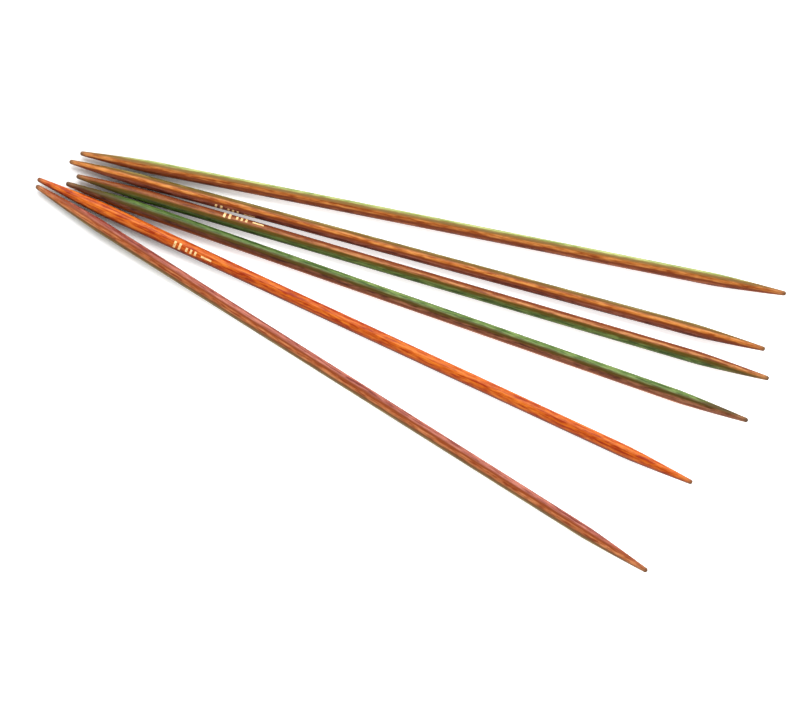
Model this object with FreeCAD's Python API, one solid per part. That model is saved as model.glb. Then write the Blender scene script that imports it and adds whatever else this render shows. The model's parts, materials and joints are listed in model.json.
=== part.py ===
import FreeCAD, Part
import math
import os

# A set of six double-pointed knitting needles, loose on a flat surface in a fan.
# Each needle is turned from a blank of three dyed birch veneers glued face to face, so
# its plies are flat-sided lengths of one round rod with a long taper and a blunt nose
# at both ends.  Every ply is a solid of its own, and the plies of a needle meet face to
# face at the glue joints.
#
# Frame: millimetres, +Z up, the resting surface at Z = 0, +X along the middle of the
# fan towards the ends that spread apart, origin at the bottom centre of the set's box.

# ---- driving dimensions --------------------------------------------------------------

needle_diameter = 2.75     # the shank, and the size that the needle is sold by
needle_length = 150.0      # nose to nose
nose_radius = 0.5          # the blunt, ball-shaped tip
taper_length = 13.0        # nose to the corner that the taper's curve is drawn in towards
shoulder_run = 3.0         # from that corner to where the full shank starts
veneer = 1.2               # thickness of the middle ply, a whole veneer
layout_step = 0.25         # spacing of the stations where neighbours are kept apart
layout_passes = 6          # how often a needle is moved up to its neighbour, to settle

needle_radius = needle_diameter / 2

# One row per needle, from the far side of the fan to the near side:
#   heading    degrees from +X, seen from above, of the line from close end to spread end
#   tip_x      where its close-end nose starts along X, before the set is centred
#   gap        clear space to the needle before it, where the two come nearest (the first
#              needle has none before it)
#   roll       degrees from +Z towards the near side: the way the plies are stacked
#   first_ply  thickness left of the outer veneer that turning cut deeper into, measured
#              in from the surface; the other outer veneer has whatever is left over
#   colours    first, middle and last ply along the stack
fan = [
    dict(heading=10.5, tip_x=6.1, roll=111.0, first_ply=0.625,
         colours=("green", "orange", "maroon")),
    dict(heading=6.6, tip_x=4.7, gap=0.55, roll=89.0, first_ply=0.775,
         colours=("green", "orange", "maroon")),
    dict(heading=5.4, tip_x=7.3, gap=0.20, roll=248.5, first_ply=0.575,
         colours=("green", "orange", "maroon")),
    dict(heading=2.5, tip_x=5.9, gap=0.20, roll=133.5, first_ply=0.575,
         colours=("green", "maroon", "orange")),
    dict(heading=-3.2, tip_x=0.0, gap=0.20, roll=336.0, first_ply=0.150,
         colours=("green", "maroon", "orange")),
    dict(heading=-10.5, tip_x=0.3, gap=0.45, roll=121.5, first_ply=0.645,
         colours=("maroon", "orange", "green")),
]


# ---- the turned profile --------------------------------------------------------------

# A straight line from the taper's corner touches the nose ball at this slope.  The taper
# itself is one smooth curve, drawn in towards the corner and tangent to the ball at one
# end and to the shank at the other.
corner_to_ball = math.hypot(taper_length - nose_radius, needle_radius)
nose_slope = (math.atan2(needle_radius, taper_length - nose_radius)
              - math.asin(nose_radius / corner_to_ball))
nose_end = nose_radius * (1 - math.sin(nose_slope))
nose_end_radius = nose_radius * math.cos(nose_slope)
shank_start = taper_length + shoulder_run


def radius_at(station):
    """The needle's radius at a distance from its close-end nose."""
    s = min(station, needle_length - station)
    if s < nose_end:
        return math.sqrt(max(nose_radius ** 2 - (nose_radius - s) ** 2, 0.0))
    if s < shank_start:
        # how far along the taper's curve, 0 to 1, from the curve's own quadratic for x
        linear = 2 * (taper_length - nose_end)
        square = nose_end - 2 * taper_length + shank_start
        past_nose = s - nose_end
        t = 2 * past_nose / (linear + math.sqrt(linear ** 2 + 4 * square * past_nose))
        return nose_end_radius * (1 - t) ** 2 + needle_radius * (1 - (1 - t) ** 2)
    return needle_radius


def end_edges():
    """The nose arc and the taper's curve of the close end, from the nose to the shank."""
    def on_ball(angle):
        return FreeCAD.Vector(nose_radius - nose_radius * math.cos(angle), 0,
                              nose_radius * math.sin(angle))

    ball_stop = math.pi / 2 - nose_slope
    nose = Part.Arc(on_ball(0), on_ball(ball_stop / 2), on_ball(ball_stop))
    taper = Part.BezierCurve()
    taper.setPoles([
        on_ball(ball_stop),
        FreeCAD.Vector(taper_length, 0, needle_radius),
        FreeCAD.Vector(shank_start, 0, needle_radius),
    ])
    return [nose.toShape(), taper.toShape()]


def turned_blank():
    """The whole needle as turned, lying along +X from its nose at the origin."""
    middle = FreeCAD.Vector(needle_length / 2, 0, 0)
    close_end = end_edges()
    far_end = [edge.mirror(middle, FreeCAD.Vector(1, 0, 0)) for edge in close_end]
    shank = Part.LineSegment(FreeCAD.Vector(shank_start, 0, needle_radius),
                             FreeCAD.Vector(needle_length - shank_start, 0, needle_radius))
    axis = Part.LineSegment(FreeCAD.Vector(needle_length, 0, 0), FreeCAD.Vector(0, 0, 0))
    edges = close_end + [shank.toShape()] + far_end[::-1] + [axis.toShape()]
    outline = Part.Face(Part.Wire(Part.__sortEdges__(edges)))
    return outline.revolve(FreeCAD.Vector(0, 0, 0), FreeCAD.Vector(1, 0, 0), 360)


# ---- the plies -----------------------------------------------------------------------

def slab(low, high, roll):
    """The space between two planes square to the stack, from low to high along it."""
    width = 2 * needle_diameter
    box = Part.makeBox(needle_length + width, width, high - low,
                       FreeCAD.Vector(-width / 2, -width / 2, low))
    # turning about +X by a positive angle takes +Z towards -Y, the near side
    box.rotate(FreeCAD.Vector(0, 0, 0), FreeCAD.Vector(1, 0, 0), roll)
    return box


def cut_into_plies(blank, needle):
    """The needle's three plies, first to last along its stack."""
    outside = needle_diameter
    first_joint = needle["first_ply"] - needle_radius
    second_joint = first_joint + veneer
    levels = [-outside, first_joint, second_joint, outside]
    plies = []
    for low, high in zip(levels, levels[1:]):
        ply = blank.common(slab(low, high, needle["roll"]))
        plies.append(ply.Solids[0])
    return plies


# ---- where each needle lies ----------------------------------------------------------

def direction(needle):
    angle = math.radians(needle["heading"])
    return math.cos(angle), math.sin(angle)


def lay_beside(before, needle):
    """Y of a needle's nose that leaves its gap to the needle before it."""
    ux, uy = direction(before)
    vx, vy = direction(needle)
    y = before["tip_y"]
    for layout_pass in range(layout_passes):
        nearest = None
        station = 0.0
        while station <= needle_length / 2:
            dx = needle["tip_x"] + station * vx - before["tip_x"]
            dy = y + station * vy - before["tip_y"]
            beside = dx * ux + dy * uy
            apart = dx * uy - dy * ux
            if 0 <= beside <= needle_length:
                room = apart - radius_at(station) - radius_at(beside)
                nearest = room if nearest is None else min(nearest, room)
            station += layout_step
        y -= (needle["gap"] - nearest) / ux
    return y


fan[0]["tip_y"] = 0.0
for before, needle in zip(fan, fan[1:]):
    needle["tip_y"] = lay_beside(before, needle)

# the noses reach furthest in X and Y, so they give the middle of the set's box
nose_centres = []
for needle in fan:
    ux, uy = direction(needle)
    for along in (nose_radius, needle_length - nose_radius):
        nose_centres.append((needle["tip_x"] + along * ux, needle["tip_y"] + along * uy))
middle_x = (min(x for x, y in nose_centres) + max(x for x, y in nose_centres)) / 2
middle_y = (min(y for x, y in nose_centres) + max(y for x, y in nose_centres)) / 2

# ---- build and write -----------------------------------------------------------------

os.makedirs("parts", exist_ok=True)
blank = turned_blank()
for number, needle in enumerate(fan, start=1):
    place = FreeCAD.Placement(
        FreeCAD.Vector(needle["tip_x"] - middle_x, needle["tip_y"] - middle_y, needle_radius),
        FreeCAD.Rotation(FreeCAD.Vector(0, 0, 1), needle["heading"]))
    plies = cut_into_plies(blank, needle)
    for colour, ply in zip(needle["colours"], plies):
        ply.Placement = place.multiply(ply.Placement)
        ply.exportStep(f"parts/needle_{number}_{colour}_ply.step")
    print(f"needle_{number}: nose at ({place.Base.x:.3f}, {place.Base.y:.3f}), "
          f"heading {needle['heading']}, ply volumes "
          + ", ".join(f"{ply.Volume:.1f}" for ply in plies))
print(f"nose slope {math.degrees(nose_slope):.3f} deg, "
      f"shank from {shank_start} to {needle_length - shank_start}")
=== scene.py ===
import json
import math

import bmesh
import bpy
from mathutils import Matrix, Vector
from mathutils.geometry import interpolate_bezier


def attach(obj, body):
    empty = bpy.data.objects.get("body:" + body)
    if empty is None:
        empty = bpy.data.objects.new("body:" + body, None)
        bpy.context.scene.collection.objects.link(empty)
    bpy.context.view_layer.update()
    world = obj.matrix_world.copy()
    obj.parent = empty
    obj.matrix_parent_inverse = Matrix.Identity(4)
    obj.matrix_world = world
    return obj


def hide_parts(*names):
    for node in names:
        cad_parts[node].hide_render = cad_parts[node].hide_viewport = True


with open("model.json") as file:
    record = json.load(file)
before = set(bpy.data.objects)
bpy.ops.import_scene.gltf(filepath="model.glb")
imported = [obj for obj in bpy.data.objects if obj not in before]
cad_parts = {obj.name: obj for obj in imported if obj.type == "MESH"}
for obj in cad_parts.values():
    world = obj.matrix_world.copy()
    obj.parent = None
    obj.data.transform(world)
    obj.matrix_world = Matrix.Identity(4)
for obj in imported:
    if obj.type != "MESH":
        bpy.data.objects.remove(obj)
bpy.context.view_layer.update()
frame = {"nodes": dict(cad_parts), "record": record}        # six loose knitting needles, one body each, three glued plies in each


# ---- needle 1, at the far side of the fan --------------------------------------------
# A double-pointed needle, turned from a blank of three dyed birch veneers that are glued
# face to face, then sanded and lacquered.  Its stack leans, with green on the far side and
# up, orange along the middle, and maroon on the near side and underneath.

MM = 0.001

needle_radius = frame["record"]["mounts"][0]["dims"]["r_mm"]
nose_radius = 0.5          # the blunt ball that each taper ends in
taper_length = 13.0        # nose to the corner that the taper's curve is drawn in towards
shoulder_run = 3.0         # from that corner to where the full shank starts
veneer = 1.2               # the middle ply, a whole veneer

nose_steps = 8
taper_steps = 24
shank_steps = 8            # to the middle of the needle
turning_steps = 96
weld = 0.0005              # vertices nearer than this are one


def lie_of(number):
    """Middle, heading and length of a needle: its noses are its CAD points furthest apart."""
    plies = frame["record"]["behaviour"]["bodies"][f"needle_{number}"]
    points = [vertex.co for ply in plies for vertex in frame["nodes"][ply].data.vertices]
    spread_end = max(points, key=lambda point: point.x)
    close_end = max(points, key=lambda point: (point - spread_end).length)
    spread_end = max(points, key=lambda point: (point - close_end).length)
    along = spread_end - close_end
    return (close_end + spread_end) / 2, math.atan2(along.y, along.x), along.length / MM


def turned_blank(length):
    """The whole needle as turned, along X and centred on its middle, in millimetres."""
    blank = bmesh.new()
    nose = -length / 2
    to_corner = math.hypot(taper_length - nose_radius, needle_radius)
    slope = (math.atan2(needle_radius, taper_length - nose_radius)
             - math.asin(nose_radius / to_corner))
    tip = bmesh.ops.create_vert(blank, co=(nose, 0, 0))["vert"]
    ball = bmesh.ops.spin(blank, geom=tip, cent=(nose + nose_radius, 0, 0), axis=(0, 1, 0),
                          angle=math.pi / 2 - slope, steps=nose_steps)["geom_last"]
    last = next(part for part in ball if isinstance(part, bmesh.types.BMVert))

    start = last.co.copy()
    corner = Vector((nose + taper_length, 0, needle_radius))
    shank = Vector((nose + taper_length + shoulder_run, 0, needle_radius))
    outline = interpolate_bezier(start, start.lerp(corner, 2 / 3), shank.lerp(corner, 2 / 3),
                                 shank, taper_steps)[1:]
    middle = Vector((0, 0, needle_radius))
    outline += [shank.lerp(middle, step / shank_steps) for step in range(1, shank_steps + 1)]
    for point in outline:
        last = bmesh.ops.extrude_vert_indiv(blank, verts=[last])["verts"][0]
        last.co = point

    bmesh.ops.mirror(blank, geom=blank.verts[:] + blank.edges[:], axis="X", merge_dist=weld)
    bmesh.ops.spin(blank, geom=blank.verts[:] + blank.edges[:], cent=(0, 0, 0), axis=(1, 0, 0),
                   angle=2 * math.pi, steps=turning_steps, use_merge=True)
    bmesh.ops.remove_doubles(blank, verts=blank.verts, dist=weld)
    bmesh.ops.recalc_face_normals(blank, faces=blank.faces)
    for face in blank.faces:
        face.smooth = True
    return blank


def ply_between(blank, low, high):
    """The part of the blank between two heights up its stack, closed flat at each joint."""
    ply = blank.copy()
    for height, below, above in ((low, True, False), (high, False, True)):
        if abs(height) >= needle_radius:
            continue
        bmesh.ops.bisect_plane(ply, geom=ply.verts[:] + ply.edges[:] + ply.faces[:],
                               dist=weld, plane_co=(0, 0, height), plane_no=(0, 0, 1),
                               clear_inner=below, clear_outer=above)
        border = [edge for edge in ply.edges if edge.is_boundary]
        for face in bmesh.ops.edgeloop_fill(ply, edges=border)["faces"]:
            face.smooth = False
        for edge in border:
            edge.smooth = False
    bmesh.ops.recalc_face_normals(ply, faces=ply.faces)
    return ply


def finished_piece(name, shape, place, material, body):
    """Sets a shape in its place, gives it its material and lets it ride on its needle."""
    bmesh.ops.transform(shape, matrix=place, verts=shape.verts)
    mesh = bpy.data.meshes.new(name)
    shape.to_mesh(mesh)
    shape.free()
    mesh.materials.append(material)
    piece = bpy.data.objects.new(name, mesh)
    bpy.context.scene.collection.objects.link(piece)
    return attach(piece, body)


class Shade:
    """A shader socket.  Operators on it add Math nodes, and node() adds any other node."""

    def __init__(self, tree, socket=None):
        self.tree = tree
        self.socket = socket

    def node(self, kind, settings, sockets, output=0):
        """Adds a node: first its settings, then the values or links of its sockets."""
        made = self.tree.nodes.new("ShaderNode" + kind)
        for name, setting in settings.items():
            setattr(made, name, setting)
        for name, value in sockets.items():
            if isinstance(value, Shade):
                self.tree.links.new(value.socket, made.inputs[name])
            else:
                made.inputs[name].default_value = value
        return Shade(self.tree, made.outputs[output]) if made.outputs else None

    def math(self, operation, first, second):
        return self.node("Math", {"operation": operation}, {0: first, 1: second})

    def __add__(self, other):
        return self.math("ADD", self, other)

    def __sub__(self, other):
        return self.math("SUBTRACT", self, other)

    def __rsub__(self, other):
        return self.math("SUBTRACT", other, self)

    def __mul__(self, other):
        return self.math("MULTIPLY", self, other)

    __radd__ = __add__
    __rmul__ = __mul__

    def __abs__(self):
        return self.node("Math", {"operation": "ABSOLUTE"}, {0: self})

    def rise(self, start, stop):
        """A smooth step from 0 at start to 1 at stop, or down again where start is larger."""
        return self.node("MapRange", {"interpolation_type": "SMOOTHSTEP"},
                         {"Value": self, "From Min": start, "From Max": stop})

    def stretched(self, x, y, z):
        """A vector whose pattern is x, y and z millimetres long, wide and high."""
        return self.node("VectorMath", {"operation": "MULTIPLY"},
                         {0: self, 1: (1 / x, 1 / y, 1 / z)})

    def noise(self, detail, roughness=0.5):
        """Noise about a half, on this vector."""
        return self.node("TexNoise", {}, {"Vector": self, "Scale": 1.0, "Detail": detail,
                                          "Roughness": roughness})

    def tinted(self, amount, colour, blend="MIX"):
        """This colour with another over it, by an amount from 0 to 1."""
        return self.node("Mix", {"data_type": "RGBA", "blend_type": blend},
                         {0: amount, 6: self, 7: colour}, output=2)


def new_material(name):
    """An empty material, and a Shade to build its nodes on."""
    material = bpy.data.materials.new(name)
    material.use_nodes = True
    tree = material.node_tree
    tree.nodes.clear()
    return material, Shade(tree)


def coated_surface(shade, colour, roughness, height, depth, coat):
    """Ends a material in lacquer over a colour, with a fine relief of the given depth."""
    relief = shade.node("Bump", {}, {"Height": height, "Distance": depth, "Strength": 1.0},
                        output="Normal")
    surface = shade.node("BsdfPrincipled", {}, {
        "Base Color": colour, "Roughness": roughness, "Normal": relief,
        "Specular IOR Level": under_lacquer, "Coat Weight": coat,
        "Coat Roughness": lacquer_roughness, "Coat IOR": lacquer_index})
    shade.node("OutputMaterial", {}, {"Surface": surface})


def rgba(colour, share=(1, 1, 1)):
    """A colour, or a share of each of its parts, with the alpha that sockets want."""
    return tuple(part * each for part, each in zip(colour, share)) + (1,)


lacquer_roughness = 0.25
lacquer_index = 1.5
lacquer_coat = 0.13
lacquer_rubbed = 0.06      # how much of the coat is gone at the noses
under_lacquer = 0.10       # the wood's own gloss
wood_roughness = 0.42
relief_depth = 0.012       # of the grain, felt through the lacquer

# the grain's patterns: millimetres along the needle, across it and up the stack
wander_size = (30, 4, 4)
wander_by = (0, 0.9, 0.6)  # how far the fibres stray from straight
band_size = (24, 0.9, 0.7)
streak_size = (7, 0.42, 0.42)
fleck_size = (2.4, 0.38, 0.38)
fibre_size = (4, 0.13, 0.13)
pore_size = (1.7, 0.05, 0.05)
cloud_size = (9, 2.5, 2.5)
band_weight = 1.5          # how much each pattern does to the wood's tone
streak_weight = 2.4
fleck_weight = 2.3
fibre_weight = 1.6

undyed_birch = (0.75, 0.60, 0.42)
# how much more dye than its own the wood took up, and how bright that leaves it
thirsty_wood = (0.55, 0.78)
hard_wood = (-0.22, 1.14)
cloudy_wood = (0.3, 1.0)
pore_wood = (0.8, 0.6)
cloud_share = 0.35
pore_share = 0.55
bare_birch = (0.34, 0.19, 0.085)        # wood worn through its dye at the noses
bare_share = 0.28
worn_from = 4.0            # before the nose
worn_to = 0.3
worn_raggedness = 3
nose_dark = (0.07, 0.045, 0.025)        # handling dirt at the very nose
dirt_share = 0.75
dirt_from = 1.3            # before the nose
dirt_to = 0.1

both_dyes = (0.68, 0.46, 0.18)          # of the mean of two dyes, where they run together
with_green = (0.52, 0.42, 0.14)         # and where one of them is green
in_the_glue = (0.3, 0.25, 0.12)         # of the same mean, in the glue line itself
glue_share = 0.5
dye_bleed = 0.41           # how far the two dyes run from a joint
green_bleed = 0.50         # and where one of them is green
bleed_full = 0.06
greenish = 0.7             # least green to red in a green dye
glue_line = 0.07           # half the thickness of the glue line
glue_full = 0.02
glue_groove = 0.12         # half the width of the groove that sanding left along it
groove_full = 0.03

# painted shade: the dye darkens towards the close end of a needle that lies crowded between its
# neighbours
painted_shade_from = 75             # from the nose of the close end, for painted shade that darkens the dye there
painted_shade_full = 28
painted_shade_strength = 0.74
painted_shade_extra = 0.2


def soaked(dye, extra, brightness):
    """The colour of birch where it took up this share more of its dye, or less."""
    return rgba(brightness * part * (part / bare) ** extra
                for part, bare in zip(dye, undyed_birch))


def dyed_veneer(name, place, dye, joints, half_length, seed, painted_end_shade):
    """Dyed birch under lacquer, patterned in the ply's own frame: X along, Z up the stack."""
    material, shade = new_material(name)
    middle, turn, size = place.decompose()
    at = shade.node("TexCoord", {}, {}, output="Object")
    at = shade.node("Mapping", {"vector_type": "TEXTURE"}, {
        "Vector": at, "Location": middle, "Rotation": turn.to_euler("XYZ"), "Scale": size})
    along = at.node("SeparateXYZ", {}, {"Vector": at}, output="X")
    up = at.node("SeparateXYZ", {}, {"Vector": at}, output="Z")

    # fibres run along the needle and wander a little; pores are short dark dashes in them
    own_wood = (seed * 41.3, seed * 3.7, 0)        # so no two plies are cut from one place
    grain = at.node("VectorMath", {"operation": "ADD"}, {0: at, 1: own_wood})
    wander = grain.stretched(*wander_size)
    wander = wander.node("TexNoise", {}, {"Vector": wander, "Scale": 1.0, "Detail": 1.0},
                         output="Color")
    wander = wander.node("VectorMath", {"operation": "MULTIPLY"}, {0: wander, 1: wander_by})
    grain = grain.node("VectorMath", {"operation": "ADD"}, {0: grain, 1: wander})
    bands = grain.stretched(*band_size).noise(2.0)
    streaks = grain.stretched(*streak_size).noise(3.0, 0.6)
    flecks = grain.stretched(*fleck_size).noise(2.0)
    fibres = grain.stretched(*fibre_size).noise(2.0)
    pores = grain.stretched(*pore_size).noise(0.0).rise(0.66, 0.76)
    cloud = grain.stretched(*cloud_size).noise(1.0)

    # the tone is about a half: below it the wood took up more dye, and above it less
    tone = (0.5 + band_weight * (bands - 0.5) + streak_weight * (streaks - 0.5)
            + fleck_weight * (flecks - 0.5) + fibre_weight * (fibres - 0.5))
    colour = shade.node("Mix", {"data_type": "RGBA"}, {
        0: tone.rise(0.0, 0.55), 6: soaked(dye, *thirsty_wood), 7: rgba(dye)}, output=2)
    colour = colour.tinted(tone.rise(0.55, 1.05), soaked(dye, *hard_wood))
    colour = colour.tinted(cloud.rise(0.45, 0.8) * cloud_share, soaked(dye, *cloudy_wood))
    # painted shade: the dye darkens towards the close end, where the neighbouring needles shade
    # it
    if painted_end_shade:
        painted_shade_tone = rgba(painted_shade_strength * (part / bare) ** painted_shade_extra
                      for part, bare in zip(dye, undyed_birch))
        close_end = along.rise(painted_shade_from - half_length, painted_shade_full - half_length)
        colour = colour.tinted(close_end * painted_end_shade, painted_shade_tone, "MULTIPLY")
    colour = colour.tinted(pores * pore_share, soaked(dye, *pore_wood))

    # the dyes run together a little way from each joint, darkest at the glue
    ragged = (streaks - 0.5) * 0.22 + (flecks - 0.5) * 0.12
    glue = 0.0
    for height, next_dye in joints:
        depth = abs(up - height) + ragged
        glue = glue + depth.rise(glue_groove, groove_full)
        run_together = tuple(math.sqrt(mine * other) for mine, other in zip(dye, next_dye))
        if max(dye[1] / dye[0], next_dye[1] / next_dye[0]) > greenish:
            bleed, share = green_bleed, with_green
        else:
            bleed, share = dye_bleed, both_dyes
        colour = colour.tinted(depth.rise(bleed, bleed_full), rgba(run_together, share))
        colour = colour.tinted(depth.rise(glue_line, glue_full) * glue_share,
                               rgba(run_together, in_the_glue))

    worn = abs(along) + (streaks - 0.5) * worn_raggedness
    worn = worn.rise(half_length - worn_from, half_length - worn_to)
    dirt = abs(along).rise(half_length - dirt_from, half_length - dirt_to)
    colour = colour.tinted(worn * bare_share, rgba(bare_birch))
    colour = colour.tinted(dirt * dirt_share, rgba(nose_dark))

    roughness = wood_roughness + (fibres - 0.5) * 0.3 + worn * 0.12
    height = fibres * 0.5 + streaks * 0.5 - pores * 0.8 - glue * 0.6
    coated_surface(shade, colour, roughness, height, relief_depth * MM,
                   lacquer_coat - worn * lacquer_rubbed)
    return material


def lay_up(number, roll, first_ply, veneers, painted_end_shade=0):
    """Makes one needle: roll is how far its stack leans from upright to the near side, in
    degrees, first_ply what turning left of the outer veneer that it cut deeper into, and
    veneers give each ply's name and its dye, from that veneer up the stack.  The last
    argument is how much painted shade, from 0 to 1, darkens the dye towards the close
    end, where the needle lies crowded between its neighbours."""
    middle, heading, length = lie_of(number)
    place = (Matrix.Translation(middle) @ Matrix.Rotation(heading, 4, "Z")
             @ Matrix.Rotation(math.radians(roll), 4, "X") @ Matrix.Scale(MM, 4))
    first_joint = first_ply - needle_radius
    levels = (-needle_radius, first_joint, first_joint + veneer, needle_radius)
    blank = turned_blank(length)
    for layer, (colour, dye) in enumerate(veneers):
        low, high = levels[layer], levels[layer + 1]
        joints = [(levels[max(layer, other)], veneers[other][1])
                  for other in (layer - 1, layer + 1) if 0 <= other < len(veneers)]
        material = dyed_veneer(f"needle_{number}_{colour}_birch", place, dye, joints,
                               length / 2, number + layer * 0.31, painted_end_shade)
        piece = finished_piece(f"needle_{number}_{colour}_veneer", ply_between(blank, low, high),
                               place, material, f"needle_{number}")
        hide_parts(f"needle_{number}_{colour}_ply")
    blank.free()


lay_up(1, roll=111, first_ply=0.625, veneers=(
    ("green", (0.272, 0.312, 0.092)),
    ("orange", (0.352, 0.108, 0.0192)),
    ("maroon", (0.188, 0.0384, 0.0096)),
))


# ---- needle 2 ------------------------------------------------------------------------
# Turned from the middle of its blank, so its outer veneers are alike, and lying with its
# plies on edge: green on the far side, orange along the top, maroon on the near side.

lay_up(2, roll=89, first_ply=0.775, veneers=(
    ("green", (0.192, 0.152, 0.04)),
    ("orange", (0.424, 0.136, 0.0224)),
    ("maroon", (0.16, 0.036, 0.0176)),
))


# ---- needle 3 ------------------------------------------------------------------------
# Glued up like the first two but lying the other way round: green on the near side and a
# little up, orange along the middle, and maroon on the far side and underneath.

# painted shade darkens its close end, where it lies crowded between its neighbours
lay_up(3, roll=248.5, first_ply=0.575, painted_end_shade=1, veneers=(
    ("green", (0.076, 0.118, 0.0208)),
    ("orange", (0.32, 0.108, 0.0256)),
    ("maroon", (0.192, 0.052, 0.024)),
))


# ---- needle 4 ------------------------------------------------------------------------
# Glued up in another order.  Green faces the far side and the light, maroon runs along the
# middle, and the orange veneer is low down at the near side.

# painted shade darkens its close end, where it lies crowded between its neighbours
lay_up(4, roll=133.5, first_ply=0.575, painted_end_shade=1, veneers=(
    ("green", (0.104, 0.168, 0.0376)),
    ("maroon", (0.16, 0.0504, 0.0208)),
    ("orange", (0.304, 0.096, 0.032)),
))


# ---- needle 5 ------------------------------------------------------------------------
# Lies face up, so that its orange veneer makes the whole of the side that shows.  Maroon
# and a last trace of green are underneath.

lay_up(5, roll=336, first_ply=0.150, veneers=(
    ("green", (0.08, 0.112, 0.032)),
    ("maroon", (0.16, 0.04, 0.024)),
    ("orange", (0.44, 0.08, 0.004)),
))


# ---- needle 6, at the near side ------------------------------------------------------
# Maroon faces the far side and the light, orange runs along the middle, and green is low
# down at the near side.

lay_up(6, roll=121.5, first_ply=0.645, veneers=(
    ("maroon", (0.296, 0.08, 0.052)),
    ("orange", (0.352, 0.104, 0.032)),
    ("green", (0.16, 0.12, 0.036)),
))


# ---- size marks ----------------------------------------------------------------------
# A tally of plain bars, pad-printed in cream ink near the close end of each shank: two
# long bars, three short ones and a dash.  The ink is a thin film over the lacquer.

mark_start = 32.0          # from the nose of the close end
mark_height = 1.5          # round the shank
ink_film = 0.012
ink_sunk = 0.010           # how far the film's underside is set into the lacquer
mark_turning = 14
#           start, length along the needle, share of the height
mark_bars = ((0.0, 0.50, 1.0), (1.15, 0.50, 1.0), (2.75, 0.45, 0.6), (3.75, 0.45, 0.6),
             (4.75, 0.45, 0.6), (6.3, 2.4, 0.25))
ink_cream = (0.80, 0.55, 0.25)
ink_thin = (0.8, 0.72, 0.6)             # of that colour, where the film is thin
patch_size = 0.5           # of its uneven places
speck_size = 0.09          # of its worn specks
speck_depth = 0.006


def cream_ink():
    """Matt cream ink, a little uneven, rubbed through to the lacquer in places."""
    material, shade = new_material("size_ink")
    at = shade.node("TexCoord", {}, {}, output="Object").stretched(MM, MM, MM)
    patches = at.stretched(patch_size, patch_size, patch_size).noise(3.0, 0.6)
    specks = at.stretched(speck_size, speck_size, speck_size).noise(2.0)
    colour = shade.node("Mix", {"data_type": "RGBA"}, {
        0: patches.rise(0.35, 0.65), 6: rgba(ink_cream, ink_thin), 7: rgba(ink_cream)}, output=2)
    relief = shade.node("Bump", {}, {
        "Height": specks, "Distance": speck_depth * MM, "Strength": 1.0}, output="Normal")
    surface = shade.node("BsdfPrincipled", {}, {
        "Base Color": colour, "Roughness": 0.45 + specks * 0.2, "Normal": relief,
        "Alpha": (specks + patches).rise(0.72, 0.80)})
    shade.node("OutputMaterial", {}, {"Surface": surface})
    return material


def print_marks(number, towards_near, material):
    """Prints a needle's marks, centred so many degrees from its top to its near side."""
    middle, heading, length = lie_of(number)
    marks = bmesh.new()
    for start, run, share in mark_bars:
        arc = share * mark_height / needle_radius
        bar = bmesh.ops.create_grid(marks, x_segments=1, y_segments=1, size=0.5)["verts"]
        bmesh.ops.scale(marks, vec=(run, ink_film + ink_sunk, 1), verts=bar)
        on_edge = Matrix.Rotation(math.pi / 2, 3, "X")
        bmesh.ops.rotate(marks, cent=(0, 0, 0), matrix=on_edge, verts=bar)
        radius = needle_radius + (ink_film - ink_sunk) / 2
        along = mark_start - length / 2 + start + run / 2
        bmesh.ops.translate(marks, vec=(along, 0, radius), verts=bar)
        turn = Matrix.Rotation(math.radians(towards_near) - arc / 2, 3, "X")
        bmesh.ops.rotate(marks, cent=(0, 0, 0), matrix=turn, verts=bar)
        face = bar[0].link_faces[0]
        bmesh.ops.spin(marks, geom=[face] + face.edges[:] + face.verts[:], cent=(0, 0, 0),
                       axis=(1, 0, 0), angle=arc, steps=mark_turning)
    bmesh.ops.recalc_face_normals(marks, faces=marks.faces)
    place = Matrix.Translation(middle) @ Matrix.Rotation(heading, 4, "Z") @ Matrix.Scale(MM, 4)
    finished_piece(f"needle_{number}_size_marks", marks, place, material, f"needle_{number}")


ink = cream_ink()
mark_turns = {1: 160, 2: 72, 3: -36, 4: 200, 5: 24, 6: 170}     # as the needles happen to lie
for number, towards_near in mark_turns.items():
    print_marks(number, towards_near, ink)


# ---- table ---------------------------------------------------------------------------
# A white table top under soft light, which is not part of the needles.  It glows by its own
# emission, painted light that pales the needles' shadows, and that glow fades out under the
# close ends of the needles, painted shade in the gaps between them.

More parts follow.
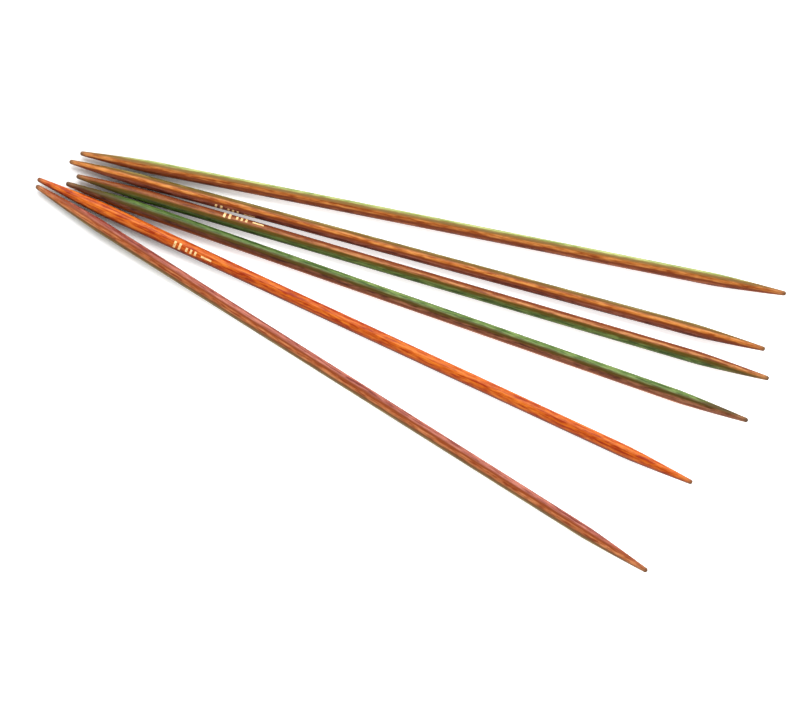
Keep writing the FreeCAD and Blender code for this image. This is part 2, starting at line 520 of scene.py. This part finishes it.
table_size = 6.0
table_colour = (0.9, 0.9, 0.9, 1)
table_painted_glow = 0.6           # painted light: the table's own glow, which pales the shadows beside the needles
painted_glow_from = -0.060         # along X: painted shade, the glow fades out under the close ends of the needles
painted_glow_to = -0.022
table = bmesh.new()
bmesh.ops.create_grid(table, x_segments=1, y_segments=1, size=table_size / 2)
table_mesh = bpy.data.meshes.new("table")
table.to_mesh(table_mesh)
table.free()
table_top = bpy.data.objects.new("table", table_mesh)
bpy.context.scene.collection.objects.link(table_top)
table_white, shade = new_material("table_white")
across = shade.node("TexCoord", {}, {}, output="Object")
across = shade.node("SeparateXYZ", {}, {"Vector": across}, output="X")
# painted light and shade: the table glows, but not under the close ends of the needles
painted_glow_and_shade = shade.node("Mix", {"data_type": "RGBA"}, {
    0: across.rise(painted_glow_from, painted_glow_to), 6: (0, 0, 0, 1), 7: (1, 1, 1, 1)}, output=2)
shade.node("OutputMaterial", {}, {"Surface": shade.node("BsdfPrincipled", {}, {
    "Base Color": table_colour, "Roughness": 0.7, "Specular IOR Level": 0.2,
    "Emission Color": painted_glow_and_shade, "Emission Strength": table_painted_glow})})
table_mesh.materials.append(table_white)


# ---- light ---------------------------------------------------------------------------
# One large soft lamp high behind the far side of the fan, in a white room.

room_overhead = 0.3        # light from straight above, and how much more from the walls
room_walls = 2.0
lamp_size = (1.6, 0.8)
lamp_power = 23.0
lamp_place = (-0.30, 0.72, 1.05)

room = bpy.data.worlds.new("room")
room.use_nodes = True
room.node_tree.nodes.clear()
shade = Shade(room.node_tree)
facing_up = shade.node("TexCoord", {}, {}, output="Generated")
facing_up = shade.node("SeparateXYZ", {}, {"Vector": facing_up}, output="Z")
towards_horizon = 1 - facing_up.rise(0, 1)
shade.node("OutputWorld", {}, {"Surface": shade.node("Background", {}, {
    "Color": (1, 1, 1, 1), "Strength": room_overhead + room_walls * towards_horizon})})
bpy.context.scene.world = room

lamp = bpy.data.lights.new("soft_box", "AREA")
lamp.shape = "RECTANGLE"
lamp.size, lamp.size_y = lamp_size
lamp.energy = lamp_power
soft_box = bpy.data.objects.new("soft_box", lamp)
soft_box.location = lamp_place
soft_box.rotation_euler = (-soft_box.location).to_track_quat("-Z", "Y").to_euler()
bpy.context.scene.collection.objects.link(soft_box)


# ---- camera --------------------------------------------------------------------------
# A long lens from well above, turned a little to the right of the fan's middle line.

camera_aim = Vector((5.65, -9.18, 0)) * MM
camera_azimuth = math.radians(22.03)
camera_elevation = math.radians(80)
camera_distance = 0.62135
camera_lens = 135

lens = bpy.data.cameras.new("camera")
lens.lens = camera_lens
lens.clip_start = 0.01
camera = bpy.data.objects.new("camera", lens)
back = Vector((math.sin(camera_azimuth) * math.cos(camera_elevation),
               -math.cos(camera_azimuth) * math.cos(camera_elevation),
               math.sin(camera_elevation)))
camera.location = camera_aim + back * camera_distance
camera.rotation_euler = (-back).to_track_quat("-Z", "Y").to_euler()
bpy.context.scene.collection.objects.link(camera)
bpy.context.scene.camera = camera
bpy.context.scene.view_settings.view_transform = "Standard"
